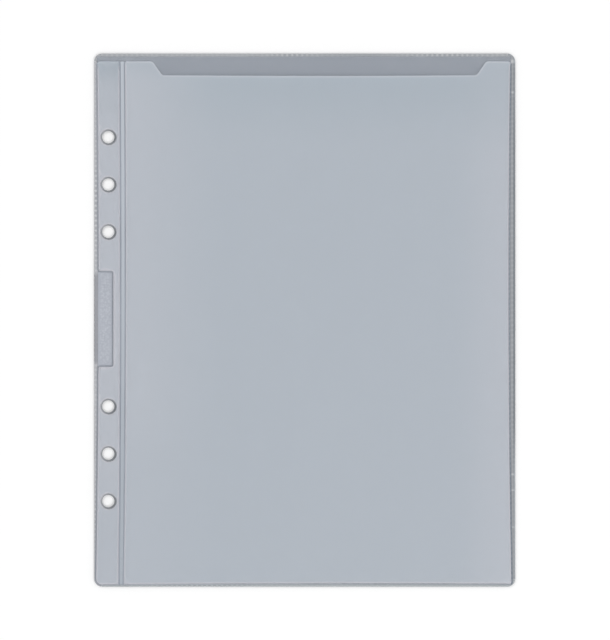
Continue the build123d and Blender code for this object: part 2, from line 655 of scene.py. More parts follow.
@dataclass(frozen=True)
class Page:
    """The page's sizes, read from the frame, and its weld lines."""

    left: float
    right: float
    bottom: float
    top: float
    hem_inner: float
    mouth: float
    fold: float
    fold_height: float
    rear_high: float
    front_low: float
    front_high: float
    bead_high: float
    label_right: float
    label_low: float
    label_high: float
    hinge: float
    cut_floor: float
    cut_left: float
    cut_right: float
    hole_radius: float
    holes: tuple[tuple[float, float], ...]
    left_line: WeldLine
    right_line: WeldLine
    bottom_line: WeldLine
    fold_line: WeldLine
    seam_line: WeldLine

    @classmethod
    def from_frame(cls, loaded: dict) -> "Page":
        """Reads the sizes.


        Returns:
            The page.
        """
        margin_lo, margin_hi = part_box("rear_margin_film")
        front_lo, front_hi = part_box("front_margin_film")
        right_lo, right_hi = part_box("right_edge_weld")
        label_lo, label_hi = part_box("label_panel")
        lip_lo, lip_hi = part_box("mouth_lip")
        left_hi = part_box("left_edge_weld")[1]
        low_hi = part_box("margin_bottom_weld")[1]
        seam_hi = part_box("pocket_seam_weld")[1]
        bores = [m for m in loaded["record"]["mounts"] if m["kind"] == "bore"]
        joints = {j["name"]: j["pos_m"] for j in loaded["joints"]}
        fold, _, fold_height = joints["margin_fold"]
        tall, wide = margin_hi.y, right_hi.x
        return cls(
            left=margin_lo.x,
            right=right_hi.x,
            bottom=margin_lo.y,
            top=margin_hi.y,
            hem_inner=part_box("top_edge_hem")[0].y,
            mouth=front_hi.y,
            fold=fold,
            fold_height=fold_height,
            rear_high=margin_hi.z,
            front_low=front_lo.z,
            front_high=front_hi.z,
            bead_high=left_hi.z,
            label_right=label_hi.x,
            label_low=label_lo.y,
            label_high=label_hi.y,
            hinge=joints["lip_lift"][1],
            cut_floor=lip_hi.y,
            cut_left=lip_lo.x - LIP_INSET,
            cut_right=lip_hi.x + LIP_INSET,
            hole_radius=bores[0]["dims"]["r_mm"] * MM,
            holes=tuple((m["pos_m"][0], m["pos_m"][1]) for m in bores),
            left_line=WeldLine(left_hi.x, tall, shift=-0.03 * MM, bow=-0.78 * MM, lean=0.25 * MM),
            right_line=WeldLine(right_lo.x, tall, shift=-0.3 * MM, bow=0.9 * MM, lean=-0.24 * MM),
            bottom_line=WeldLine(low_hi.y, wide, shift=-0.3 * MM, bow=-0.33 * MM, lean=0.15 * MM),
            fold_line=WeldLine(fold, tall, shift=-0.05 * MM, bow=-0.45 * MM, lean=0.2 * MM),
            seam_line=WeldLine(seam_hi.x, tall, shift=-0.28 * MM, bow=-0.6 * MM, lean=0.2 * MM),
        )

    def corner(self, side: WeldLine) -> tuple[float, float]:
        """Where a line that runs up the page meets the bottom line.

        Args:
            side: the line that runs up the page.

        Returns:
            The meeting point.
        """
        x, y = side.base, self.bottom_line.base
        for _ in range(CORNER_PASSES):
            x, y = float(side.at(y)), float(self.bottom_line.at(x))
        return x, y

    def punched(self) -> list[Path]:
        """The ring holes as they are cut in the films, a little wider than their rims."""
        return [ring(hole, self.hole_radius + HOLE_SLACK) for hole in self.holes]


@dataclass(frozen=True)
class InnerLine:
    """The line along the inner side of the edge welds: down the left side, along the bottom, up the right."""

    page: Page
    left_round: float = 2.4 * MM
    right_round: float = 0.8 * MM
    label_round: float = 0.45 * MM
    label_join: float = 1.0 * MM
    probe: float = 8 * MM
    spacing: float = 3 * MM

    def _corner(self, line: WeldLine, radius: float, onward: float) -> Path:
        """A rounded corner from a side line to the bottom line.

        Args:
            line: the side line.
            radius: the corner's radius.
            onward: 1 if the bottom line goes on to the right, and -1 if to the left.

        Returns:
            The corner's points.
        """
        x, y = self.page.corner(line)
        up, on = y + self.probe, x + onward * self.probe
        turn = ((float(line.at(up)), up), (x, y), (on, float(self.page.bottom_line.at(on))))
        return rounded(turn, (0.0, radius, 0.0), CORNER_BITS)[1:-1]

    def left(self, top: float, label: bool) -> Path:
        """The left side and its corner, from the top down.

        Args:
            top: where it starts.
            label: whether it goes round the label panel.

        Returns:
            The line's points.
        """
        page, line = self.page, self.page.left_line
        corner = self._corner(line, self.left_round, 1.0)
        if not label:
            return np.vstack((line.upright(steps(top, corner[0, 1], self.spacing)[:-1]), corner))
        reach = page.label_right - self.label_round / 2
        above = line.upright(steps(top, page.label_high + 2 * self.label_join, self.spacing))
        below = line.upright(steps(page.label_low - 2 * self.label_join, corner[0, 1], self.spacing)[:-1])
        bend = (
            (float(line.at(page.label_high)), page.label_high),
            (reach, page.label_high),
            (reach, page.label_low),
            (float(line.at(page.label_low)), page.label_low),
        )
        radii = (self.label_join, self.label_round, self.label_round, self.label_join)
        round_label = rounded([above[-1], *bend, below[0]], (0.0, *radii, 0.0))
        return np.vstack((above[:-1], round_label, below[1:], corner))

    def bottom(self, start: float, end: float, size: float) -> Path:
        """The bottom line between two places across the page."""
        along = steps(start, end, size)
        return np.column_stack((along, self.page.bottom_line.at(along)))

    def right(self, top: float) -> Path:
        """The right corner and side, from the bottom up to top."""
        corner = self._corner(self.page.right_line, self.right_round, -1.0)[::-1]
        return np.vstack((corner, self.page.right_line.upright(steps(corner[-1, 1], top, self.spacing)[1:])))


# Meshes


@dataclass
class Shell:
    """A closed mesh in the making, with a finish for each face."""

    verts: list[tuple[float, float, float]] = field(default_factory=list)
    faces: list[tuple[int, ...]] = field(default_factory=list)
    paints: list[int] = field(default_factory=list)
    rims: list[float] = field(default_factory=list)

    def add_points(self, points: np.ndarray, rim: np.ndarray | float = 0.0) -> int:
        """Adds points.

        Args:
            points: the points, one to a row.
            rim: how light each of them is, as painted light and tone.

        Returns:
            The first one's number.
        """
        first = len(self.verts)
        self.verts.extend(map(tuple, np.asarray(points, float).tolist()))
        self.rims.extend(np.broadcast_to(rim, len(points)).tolist())
        return first

    def add_face(self, corners: Sequence[int], paint: int = 0) -> None:
        """Adds a face with a numbered finish."""
        self.faces.append(tuple(int(c) for c in corners))
        self.paints.append(paint)

    def add_sweep(
        self,
        rows: np.ndarray,
        paints: Sequence[int],
        rims: np.ndarray,
        looped: bool = False,
    ) -> None:
        """Adds a tube: closed cross-sections joined one to the next.

        Args:
            rows: the cross-sections' points, as rows of points.
            paints: the finish of each side of the cross-section.
            rims: how light each cross-section is, or each of its points, as painted light and tone.
            looped: whether the last cross-section joins the first.
        """
        count, size = rows.shape[0], rows.shape[1]
        first = self.add_points(rows.reshape(-1, 3), np.broadcast_to(rims, (count, size)).ravel())
        for k in range(count if looped else count - 1):
            here = first + k * size
            there = first + (k + 1) % count * size
            for j in range(size):
                following = (j + 1) % size
                self.add_face((here + j, there + j, there + following, here + following), paints[j])
        if not looped:
            last = first + (count - 1) * size
            self.add_face(range(first, first + size), paints[0])
            self.add_face(range(last + size - 1, last - 1, -1), paints[0])

    def to_object(self, name: str, finishes: Sequence[Finish], crease: float = 42.0) -> bpy.types.Object:
        """Makes the mesh an object of the scene.

        Args:
            name: the piece's name.
            finishes: the finishes that the faces' numbers mean.
            crease: the angle in degrees above which an edge stays sharp.

        Returns:
            The object.
        """
        mesh = bpy.data.meshes.new(name)
        mesh.from_pydata(self.verts, [], self.faces)
        for finish in finishes:
            mesh.materials.append(finish.material())
        mesh.polygons.foreach_set("material_index", self.paints)
        mesh.polygons.foreach_set("use_smooth", [True] * len(self.faces))
        # Stores each point's painted light and tone for the finishes to read.
        rim = mesh.attributes.new("rim", "FLOAT", "POINT")
        rim.data.foreach_set("value", self.rims)
        mesh.set_sharp_from_angle(angle=math.radians(crease))
        mesh.validate()
        mesh.update()
        made = bpy.data.objects.new(name, mesh)
        bpy.context.scene.collection.objects.link(made)
        return made


@dataclass(frozen=True)
class Bead:
    """A half-round bead along a path, sunk a little at both ends."""

    width: float
    low: float
    high: float
    bits: int = 7
    shoulder: float = 0.35
    end_share: float = 0.55

    def rows(self, path: Path) -> np.ndarray:
        """The bead's cross-sections.

        Args:
            path: the bead's middle line.

        Returns:
            The cross-sections, as rows of points.
        """
        arch = np.linspace(1.0, -1.0, self.bits)
        across = np.concatenate((arch, (-1.0, 1.0)))
        share = self.shoulder + (1 - self.shoulder) * dome(arch)
        tall = np.concatenate((self.low + (self.high - self.low) * share, (self.low, self.low)))
        rows = np.zeros((len(path), len(across), 3))
        side = sideways(path)
        rows[:, :, :2] = path[:, None, :] - side[:, None, :] * across[None, :, None] * self.width / 2
        run = run_along(path)
        inward = ease(np.minimum(run, run[-1] - run) / (2 * self.width))
        full = self.end_share + (1 - self.end_share) * inward
        rows[:, :, 2] = self.low + (tall[None, :] - self.low) * full[:, None]
        return rows


@dataclass
class FilmSheet:
    """A thin closed sheet of film, cut to an outline, with holes in it."""

    outline: Path
    holes: Sequence[Path]
    underside: Tone
    tone: Tone
    thickness: float
    spacing: float
    free_edge: Path | None = None
    slope: float = 0.22 * MM
    # Painted highlight along the film's edges: by the welds, round the holes and along the free cut edge.
    highlight_start: float = 0.45 * MM
    highlight_width: float = 0.5 * MM
    edge_highlight: float = 1.0
    free_highlight_start: float = 0.15 * MM
    free_edge_highlight: float = 0.48
    rows: tuple[float, ...] = (0.4 * MM, 0.75 * MM, 1.1 * MM, 1.9 * MM)
    row_clear: float = 0.93
    field_clear: float = 0.4
    field_clear_most: float = 1.0 * MM
    band: tuple[float, float] | None = None
    band_step: float = 0.32 * MM
    band_share: float = 0.6
    fill_limit: float = 1e-4

    def shell(self) -> Shell:
        """Builds the sheet.

        Returns:
            Its closed mesh: finish 0 on its faces, finish 1 on its free cut edges.
        """
        flat, triangles = self._flat()
        count = len(flat)
        low = self.underside(flat)
        free, rim = self._edges(flat)
        under = flat + self._outward(flat, triangles) * np.where(free, self.slope, 0.0)[:, None]
        shell = Shell()
        shell.add_points(np.column_stack((flat, low + self.thickness)), rim)
        shell.add_points(np.column_stack((under, low)), rim)
        for a, b, c in triangles:
            shell.add_face((a, b, c))
            shell.add_face((c + count, b + count, a + count))
        for a, b in self._border(triangles):
            shell.add_face((b, a, a + count, b + count), 1 if free[a] and free[b] else 0)
        return shell

    def _edges(self, flat: Path) -> tuple[np.ndarray, np.ndarray]:
        """Which points lie on the free cut edge, and how light each point is: the film's tone plus a painted
        highlight along its edges.

        Args:
            flat: the sheet's points.

        Returns:
            True for each point on the free edge, and each point's lightness.
        """
        gap = edge_distance(flat, [self.outline, *self.holes])
        free_gap = np.full(len(flat), np.inf)
        if self.free_edge is not None:
            free_gap = edge_distance(flat, [np.vstack((self.free_edge, self.free_edge[::-1]))])
        nearest_free = free_gap <= gap + TOUCHING
        light = np.where(nearest_free, self.free_edge_highlight, self.edge_highlight)
        start = np.where(nearest_free, self.free_highlight_start, self.highlight_start)
        rim = light * (1.0 - ease((gap - start) / self.highlight_width))
        tone = self.tone(flat)
        return free_gap < TOUCHING, tone + (1.0 - tone) * rim

    def _solid(self, points: Path) -> np.ndarray:
        """Which points lie on the film.

        Args:
            points: the points.

        Returns:
            True for each point inside the outline and in none of the holes.
        """
        solid = within(points, self.outline)
        for hole in self.holes:
            solid &= ~within(points, hole)
        return solid

    def _flat(self) -> tuple[Path, list[tuple[int, int, int]]]:
        """Fills the outline with points and triangles.

        Returns:
            The points and the triangles, counter-clockwise.
        """
        loops = [self.outline, *self.holes]
        edges: list[tuple[int, int]] = []
        start = 0
        for loop in loops:
            count = len(loop)
            edges.extend((start + k, start + (k + 1) % count) for k in range(count))
            start += count
        points = np.vstack((*loops, self._inner(loops))) / MM
        places = [Vector(p) for p in points.tolist()]
        filled = delaunay_2d_cdt(places, edges, [], INSIDE_ONLY, self.fill_limit)
        flat = np.array([(v.x, v.y) for v in filled[0]]) * MM
        corners = np.array(filled[2])
        triangles = []
        for a, b, c in corners[self._solid(flat[corners].mean(axis=1))].tolist():
            ab, ac = flat[b] - flat[a], flat[c] - flat[a]
            triangles.append((a, b, c) if ab[0] * ac[1] > ab[1] * ac[0] else (a, c, b))
        return flat, triangles

    def _inner(self, loops: Sequence[Path]) -> Path:
        """Points inside the outline: rows along its edges, then an even field.

        Args:
            loops: the outline and the holes.

        Returns:
            The points.
        """
        found = []
        for loop in loops:
            ahead = np.roll(loop, -1, axis=0) - np.roll(loop, 1, axis=0)
            ahead /= np.linalg.norm(ahead, axis=1)[:, None]
            inward = np.column_stack((-ahead[:, 1], ahead[:, 0]))
            for distance in self.rows:
                row = loop + inward * distance
                found.append(row[edge_distance(row, loops) > distance * self.row_clear])
        lo, hi = self.outline.min(axis=0), self.outline.max(axis=0)
        even = grid(steps(lo[0], hi[0], self.spacing), steps(lo[1], hi[1], self.spacing))
        clear = self.rows[-1] + min(self.spacing * self.field_clear, self.field_clear_most)
        even = even[edge_distance(even, loops) > clear]
        if self.band is not None:
            start, end = self.band
            even = even[(even[:, 0] < start - self.band_step) | (even[:, 0] > end + self.band_step)]
            up = steps(lo[1], hi[1], self.spacing * self.band_share)
            fine = grid(steps(start, end, self.band_step), up)
            found.append(fine[edge_distance(fine, loops) > clear])
        every = np.vstack((*found, even))
        return every[self._solid(every)]

    @staticmethod
    def _border(triangles: Sequence[tuple[int, int, int]]) -> list[tuple[int, int]]:
        """The edges that only one triangle has, in that triangle's direction."""
        sides = dict.fromkeys((t[k], t[(k + 1) % 3]) for t in triangles for k in range(3))
        return [side for side in sides if (side[1], side[0]) not in sides]

    def _outward(self, flat: Path, triangles: Sequence[tuple[int, int, int]]) -> Path:
        """Directions out of the sheet at its border, and none inside it.

        Args:
            flat: the sheet's points.
            triangles: the sheet's triangles.

        Returns:
            One direction for each point.
        """
        out = np.zeros_like(flat)
        for a, b in self._border(triangles):
            step = flat[b] - flat[a]
            away = np.array((step[1], -step[0])) / np.linalg.norm(step)
            out[a] += away
            out[b] += away
        size = np.linalg.norm(out, axis=1)
        return out / np.where(size > 0, size, 1.0)[:, None]


# Sub-assemblies


@dataclass(frozen=True)
class FoldZone:
    """How a piece that crosses the fold bends there."""

    page: Page
    reach: float = 1.25 * MM

    def bend(self, piece: bpy.types.Object) -> None:
        """Makes a piece bend from the margin to the pocket.

        Args:
            piece: the piece.
        """
        level = self.page.fold_height
        start = (self.page.fold - self.reach, 0.0, level)
        end = (self.page.fold + self.reach, 0.0, level)
        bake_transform(piece, Body.MARGIN.value, Body.POCKET.value, start, end)


@dataclass
class RearFilm:
    """The rear film: the whole page, under everything else."""

    page: Page
    inner: InnerLine
    underside: float = 0.012 * MM
    tuck: float = 0.3 * MM
    spacing: float = 5.0 * MM
    edge_step: float = 4 * MM
    fold_reach: float = 1.6 * MM
    mouth_fade: float = 1 * MM
    cut_fade: float = 4 * MM
    shoulder_light: float = 0.45
    flare_light: float = 0.5
    flare_offset: float = 0.8 * MM
    flare_width: float = 2.2 * MM

    def tone(self, flat: Path) -> np.ndarray:
        """Painted light: how the film is lightened above the mouth, beside the thumb cut, where it lifts the
        shade of the front film's edge, and over the double weld.

        Args:
            flat: places on the page.

        Returns:
            The lightness at each of them.
        """
        page = self.page
        x, y = flat[:, 0], flat[:, 1]
        above = Rise(page.mouth - self.mouth_fade, self.mouth_fade).at(y)
        beside = Rise(page.cut_left, -self.cut_fade).at(x) + Rise(page.cut_right, self.cut_fade).at(x)
        flare = Swell(page.fold + self.flare_offset, self.flare_width, self.flare_light).at(x)
        return above * (self.shoulder_light * beside + flare)

    def outline(self) -> Path:
        """The film's outline, tucked a little into the weld strips.

        Returns:
            The outline, counter-clockwise.
        """
        top = self.page.hem_inner + self.tuck
        left = self.inner.left(top, label=False)
        right = self.inner.right(top)
        bottom = self.inner.bottom(left[-1, 0], right[0, 0], self.edge_step)
        path = np.vstack((left, bottom[1:-1], right))
        path = path - sideways(path) * self.tuck
        path[0, 1] = top
        path[-1, 1] = top
        across = steps(path[-1, 0], path[0, 0], self.edge_step)[1:-1]
        return np.vstack((path, np.column_stack((across, np.full(len(across), top)))))

    def build(self) -> bpy.types.Object:
        """Builds the film.

        Returns:
            The finished piece.
        """
        page = self.page
        sheet = FilmSheet(
            outline=self.outline(),
            holes=page.punched(),
            underside=lambda flat: np.full(len(flat), self.underside),
            tone=self.tone,
            thickness=page.rear_high - self.underside,
            spacing=self.spacing,
            band=(page.fold - self.fold_reach, page.fold + self.fold_reach),
        )
        piece = sheet.shell().to_object("rear_film", (REAR_FILM, CUT_EDGE))
        FoldZone(page).bend(piece)
        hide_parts("rear_margin_film", "rear_pocket_film")
        return piece


@dataclass
class FrontFilm:
    """What the two stretches of front film share: how the film stands off the rear one."""

    page: Page
    inner: InnerLine
    weld_level: float = 0.06 * MM
    shoulder: float = 1.9 * MM
    corner_probe: float = 4 * MM

    def drape(self, distance: np.ndarray) -> np.ndarray:
        """The height of the film's underside at distances from its nearest weld."""
        low = self.page.rear_high + self.weld_level
        return low + (self.page.front_low - low) * ease(distance / self.shoulder)


@dataclass
class FrontMarginFilm(FrontFilm):
    """The front film of the binding margin, from the left weld to the fold."""

    spacing: float = 1.6 * MM
    bottom_step: float = 1.5 * MM
    fold_step: float = 2.0 * MM
    fold_round: float = 1.2 * MM
    left_round: float = 1.5 * MM
    # Strength of the painted highlight along the margin's mouth edge.
    mouth_highlight: float = 0.15
    mouth_fade: float = 12 * MM
    base_tone: float = 0.34
    middle_tone: float = 0.13
    middle_low: Rise = Rise(-0.75, 0.25)
    middle_high: Rise = Rise(0.82, -0.13)

    def tone(self, flat: Path) -> np.ndarray:
        """How the film lightens between the margin's ends.

        Args:
            flat: places on the page.

        Returns:
            The lightness at each of them.
        """
        share = flat[:, 1] / self.page.top
        middle = self.middle_tone * self.middle_low.at(share) * self.middle_high.at(share)
        return (self.base_tone + middle) * Rise(self.page.mouth, -self.mouth_fade).at(flat[:, 1])

    def build(self) -> bpy.types.Object:
        """Builds the film.

        Returns:
            The finished piece.
        """
        page = self.page
        start = page.mouth - self.corner_probe
        left = self.inner.left(start, label=True)
        fold_x, low = page.corner(page.fold_line)
        bottom = self.inner.bottom(left[-1, 0], fold_x, self.bottom_step)
        fold = page.fold_line.upright(steps(low, start, self.fold_step))
        corners = (
            (fold[-1, 0], start),
            (float(page.fold_line.at(page.mouth)), page.mouth),
            (float(page.left_line.at(page.mouth)), page.mouth),
            (left[0, 0], start),
        )
        mouth = rounded(corners, (0.0, self.fold_round, self.left_round, 0.0))
        weld = np.vstack((mouth[-2:-1], left, bottom, fold, mouth[1:2]))
        welds = [np.vstack((weld, weld[::-1]))]
        sheet = FilmSheet(
            outline=np.vstack((bottom[:-1], fold[:-1], mouth[:-1], left[:-1])),
            holes=page.punched(),
            underside=lambda flat: self.drape(edge_distance(flat, welds)),
            tone=self.tone,
            thickness=page.front_high - page.front_low,
            spacing=self.spacing,
            free_edge=mouth[1:-1],
            free_edge_highlight=self.mouth_highlight,
        )
        piece = sheet.shell().to_object("margin_front_film", (MARGIN_FILM, CUT_EDGE))
        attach(piece, Body.MARGIN.value)
        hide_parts("front_margin_film")
        return piece


@dataclass
class FrontPocketFilm(FrontFilm):
    """The front film of the pocket, with the thumb cut in its mouth."""

    cut_taper: float = 3.8 * MM
    cut_radius: float = 2.0 * MM
    cut_bow: float = 0.32 * MM
    seam_round: float = 1.2 * MM
    right_round: float = 1.2 * MM
    spacing: float = 3.6 * MM
    edge_step: float = 3 * MM
    mouth_step: float = 2 * MM
    pillow: float = 0.35 * MM
    pillow_reach: float = 50 * MM
    wave: float = 0.09 * MM
    wave_reach: float = 22 * MM
    across_wave: tuple[float, float] = (13 * MM, 31 * MM)
    upward_wave: tuple[float, float] = (-41 * MM, 17 * MM)
    upward_phase: float = 1.3
    upward_share: float = 0.7
    # Painted reflection on the pocket film: a glow towards its side welds and painted shade across its
    # middle.
    base_tone: float = 0.19
    base_fade: float = 30 * MM
    left_glow: float = 0.26
    left_glow_reach: float = 42 * MM
    right_glow: float = 0.29
    right_glow_reach: float = 27 * MM
    low_share: float = 0.5
    glow_low: Rise = Rise(-64 * MM, 34 * MM)
    glow_high: Rise = Rise(94 * MM, -34 * MM)
    mouth_fade: float = 9 * MM
    lift_reach: float = 30 * MM
    side_hold: float = 4 * MM
    side_reach: float = 46 * MM

    def mouth_path(self) -> Path:
        """The mouth's edge with the thumb cut, from right to left.

        Returns:
            The edge's points, which start and end a little below the mouth.
        """
        page = self.page
        start = page.mouth - self.corner_probe
        corners = (
            (float(page.right_line.at(start)), start),
            (float(page.right_line.at(page.mouth)), page.mouth),
            (page.cut_right + self.cut_taper, page.mouth),
            (page.cut_right, page.cut_floor),
            (page.cut_left, page.cut_floor),
            (page.cut_left - self.cut_taper, page.mouth),
            (float(page.seam_line.at(page.mouth)), page.mouth),
            (float(page.seam_line.at(start)), start),
        )
        radii = (0.0, self.right_round, *(self.cut_radius,) * 4, self.seam_round, 0.0)
        path = refined(rounded(corners, radii, CORNER_BITS), self.mouth_step)
        middle, half = (page.cut_left + page.cut_right) / 2, (page.cut_right - page.cut_left) / 2
        sag = np.clip(1.0 - ((path[:, 0] - middle) / half) ** 2, 0.0, 1.0)
        path[:, 1] -= self.cut_bow * sag
        return path

    def _from_sides(self, x: np.ndarray, y: np.ndarray) -> tuple[np.ndarray, np.ndarray]:
        """How far places lie from the seam and from the right weld."""
        return x - self.page.seam_line.at(y), self.page.right_line.at(y) - x

    def underside(self, flat: Path) -> np.ndarray:
        """The film's underside: down at the welds, a soft pillow between them.

        Args:
            flat: places on the page.

        Returns:
            The underside's height at each of them.
        """
        x, y = flat[:, 0], flat[:, 1]
        from_left, from_right = self._from_sides(x, y)
        from_low = y - self.page.bottom_line.at(x)
        nearest = np.minimum(np.minimum(from_left, from_right), from_low)
        reach = self.pillow_reach
        loose = ease(from_left / reach) * ease(from_right / reach) * ease(from_low / reach)
        across = np.sin(x / self.across_wave[0] + y / self.across_wave[1])
        upward = np.sin(y / self.upward_wave[1] + x / self.upward_wave[0] + self.upward_phase)
        most = 1.0 + self.upward_share
        ripple = (across + self.upward_share * upward + most) / most
        settled = ease(nearest / self.wave_reach)
        return self.drape(nearest) + self.pillow * loose + self.wave * ripple * settled

    def tone(self, flat: Path) -> np.ndarray:
        """Painted reflection: how the film is lightened below the mouth and towards its side welds, with
        painted shade across its middle.

        Args:
            flat: places on the page.

        Returns:
            The lightness at each of them.
        """
        y = flat[:, 1]
        from_left, from_right = self._from_sides(flat[:, 0], y)
        left_far = ease(from_left / self.left_glow_reach)
        right_far = ease(from_right / self.right_glow_reach)
        left = self.left_glow * (1.0 - left_far) * Rise(self.page.mouth, -self.mouth_fade).at(y)
        left *= self.low_share + (1.0 - self.low_share) * self.glow_low.at(y)
        right = self.right_glow * (1.0 - right_far) * self.glow_high.at(y)
        # Painted shade across the film's middle, away from both side welds.
        shade = left_far * right_far * (1.0 - Rise(self.page.cut_floor, -self.base_fade).at(y))
        base = self.base_tone * (1.0 - shade)
        return 1.0 - (1.0 - base) * (1.0 - left - right)

    def build(self) -> bpy.types.Object:
        """Builds the film.

        Returns:
            The finished piece.
        """
        page = self.page
        start = page.mouth - self.corner_probe
        seam_x, low = page.corner(page.seam_line)
        right = self.inner.right(start)
        bottom = self.inner.bottom(seam_x, right[0, 0], self.edge_step)
        seam = page.seam_line.upright(steps(start, low, self.edge_step))
        mouth = self.mouth_path()
        sheet = FilmSheet(
            outline=np.vstack((bottom[:-1], right[:-1], mouth[:-1], seam[:-1])),
            holes=(),
            underside=self.underside,
            tone=self.tone,
            thickness=page.front_high - page.front_low,
            spacing=self.spacing,
            free_edge=mouth[2:-2],
        )
        piece = sheet.shell().to_object("pocket_front_film", (FRONT_FILM, CUT_EDGE))
        self._lift(piece)
        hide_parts("front_pocket_film", "mouth_lip")
        return piece

    def _lift(self, piece: bpy.types.Object) -> None:
        """Makes the mouth lift in a bow, held at its side welds.

        Args:
            piece: the film.
        """
        page = self.page
        level = (page.front_low + page.front_high) / 2
        start = (0.0, page.hinge, level)
        end = (0.0, page.hinge + self.lift_reach, level)
        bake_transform(piece, Body.POCKET.value, Body.LIP.value, start, end)
        weights = piece.data.attributes["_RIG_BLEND"]
        count = len(piece.data.vertices)
        share = np.zeros(count, np.float32)
        weights.data.foreach_get("value", share)
        place = np.zeros(count * 3, np.float32)
        piece.data.vertices.foreach_get("co", place)
        for away in self._from_sides(*place.reshape(-1, 3).T[:2]):
            share = share * ease((away - self.side_hold) / self.side_reach)
        weights.data.foreach_set("value", share.astype(np.float32))


@dataclass(frozen=True)
class StripLook:
    """How one weld strip looks: its finishes, its outer edge, and how light it is along its length."""

    land: Finish
    bead: Finish
    edge: Finish
    land_tone: Tone
    edge_tone: Tone
    bead_tone: Tone
    beat: Tone
    edge_width: float = 0.42 * MM
    scallop: float = 0.12 * MM
    bead_beat: float = 0.12
    bead_width: float = 0.46 * MM
    # Painted light across the strip, from its outer edge to its inner side: lightest on the land's top,
    # painted shade down its inner slope.
    lights: tuple[float, ...] = (0.9, 0.9, 1.0, 1.0, 1.0, 0.8, 0.6, 0.6)


@dataclass
class EdgeWelds:
    """The knurled weld strips round the page, with a bead along their inner side, and the top hem."""

    page: Page
    inner: InnerLine
    corner: float = 3.2 * MM
    low_step: float = 2 * MM
    pitch: float = 2.0 * MM
    stations: int = 8
    edge_high: float = 0.2 * MM
    edge_round: float = 0.12 * MM
    edge_most: tuple[float, float] = (0.15, 0.45)
    land_high: float = 0.33 * MM
    land_slope: tuple[float, float] = (0.62, 0.84)
    slope_high: float = 0.28 * MM
    sunk: float = 0.02 * MM
    ridge: float = 0.12 * MM
    lifts: tuple[float, ...] = (0.0, 0.0, 0.7, 1.0, 1.0, 0.5, 0.0, 0.0)
    paints: tuple[int, ...] = (2, 2, 2, 0, 0, 0, 0, 0)
    scallop_base: float = 0.4
    glint_gain: float = 2.2
    bead_low: float = 0.15 * MM
    bead_start: float = 0.9 * MM
    bead_step: float = 0.5 * MM
    bead_low_step: float = 1 * MM
    label_fade: float = 2 * MM
    low_end: Rise = Rise(-0.37, -0.23)
    high_ends: tuple[Rise, Rise] = (Rise(0.65, 0.2, 0.4), Rise(0.93, 0.05, 0.6))
    left_paler: Rise = Rise(-0.2, 0.65, 0.3)
    left_dark: float = 0.05
    right_light: float = 0.25
    right_dark: tuple[float, float] = (0.3, 0.75)
    side_knurl_glints: tuple[Swell, Swell] = (Swell(0.43, 0.16), Swell(-0.77, 0.15, 0.6))
    top_knurl_glints: tuple[Swell, Swell] = (Swell(0.66, 0.16), Swell(-0.06, 0.09))
    top_start: float = 0.95
    low_knurl_glints: Swell = Swell(-0.5, 0.22)
    top_dull: Swell = Swell(0.28, 0.22)
    # Painted glints along the right land: where they sit and how bright they are.
    glint_base: float = 0.3
    glint_light: float = 1.4
    glints: tuple[Swell, ...] = (
        Swell(103.9 * MM, 0.9 * MM),
        Swell(91.3 * MM, 0.5 * MM),
        Swell(-61.8 * MM, 0.4 * MM),
        Swell(-68.2 * MM, 0.35 * MM),
        Swell(-83.0 * MM, 0.35 * MM),
    )

    def course(self, side: Side) -> tuple[Path, Path]:
        """Where a side's strip runs, with the round corner after it, counter-clockwise.

        Args:
            side: the side.

        Returns:
            The strip's outer points and its inner points, station by station.
        """
        page, r = self.page, self.corner
        left, right = self.inner.left(page.hem_inner, label=False), self.inner.right(page.hem_inner)
        low = self.inner.bottom(left[-1, 0], right[0, 0], self.low_step)
        lines = (left, low, right, np.array((right[-1], left[0])))
        x, y = (page.left + r, page.right - r), (page.bottom + r, page.top - r)
        middles = np.array(((x[0], y[0]), (x[1], y[0]), (x[1], y[1]), (x[0], y[1])))
        number = list(Side).index(side)
        line, middle = lines[number], middles[number]
        angle = math.pi * (1 + number / 2)
        outward = r * np.array((math.cos(angle), math.sin(angle)))
        start, end = middles[number - 1] + outward, middle + outward
        count = round(float(np.linalg.norm(end - start)) / self.pitch) * self.stations
        edge = start + (end - start) * (np.arange(count) / count)[:, None]
        bend = round(r * math.pi / 2 / self.pitch) * self.stations
        turned = angle + math.pi / 2 * np.arange(bend) / bend
        arc = middle + r * np.column_stack((np.cos(turned), np.sin(turned)))
        knee = self._knee(np.vstack((line[:-1], lines[(number + 1) % len(lines)])), middle, angle)
        beside = self._beside(line, edge, side in (Side.LEFT, Side.RIGHT))
        return np.vstack((edge, arc)), np.vstack((beside, resampled(knee, bend)))

    @staticmethod
    def _beside(path: Path, points: Path, upward: bool) -> Path:
        """The points of a path that lie level with others.

        Args:
            path: the path.
            points: the points to be level with.
            upward: whether the path runs up the page, and not across it.

        Returns:
            One point of the path for each of them.
        """
        along, across = (1, 0) if upward else (0, 1)
        order = np.argsort(path[:, along], kind="stable")
        made = np.array(points)
        made[:, across] = np.interp(points[:, along], path[order, along], path[order, across])
        return made

    @staticmethod
    def _knee(path: Path, middle: np.ndarray, angle: float) -> Path:
        """The inner line's stretch inside a round corner.

        Args:
            path: the inner line, from before the corner to after it.
            middle: the middle of the corner's arc.
            angle: the angle at which the arc starts.

        Returns:
            The stretch, from level with the corner's start to level with its end.
        """
        halfway = angle + math.pi / 4
        outward = np.sign((math.cos(halfway), math.sin(halfway)))
        reach = (path - middle) * outward
        inside = np.flatnonzero((reach > 0).all(axis=1))
        ends = []
        for first, outer in ((inside[0], inside[0] - 1), (inside[-1], inside[-1] + 1)):
            a, b = reach[outer], reach[first]
            share = max(a[k] / (a[k] - b[k]) for k in range(2) if a[k] <= 0 < b[k])
            ends.append(path[outer] + (path[first] - path[outer]) * share)
        return np.vstack((ends[0], path[inside], ends[1]))

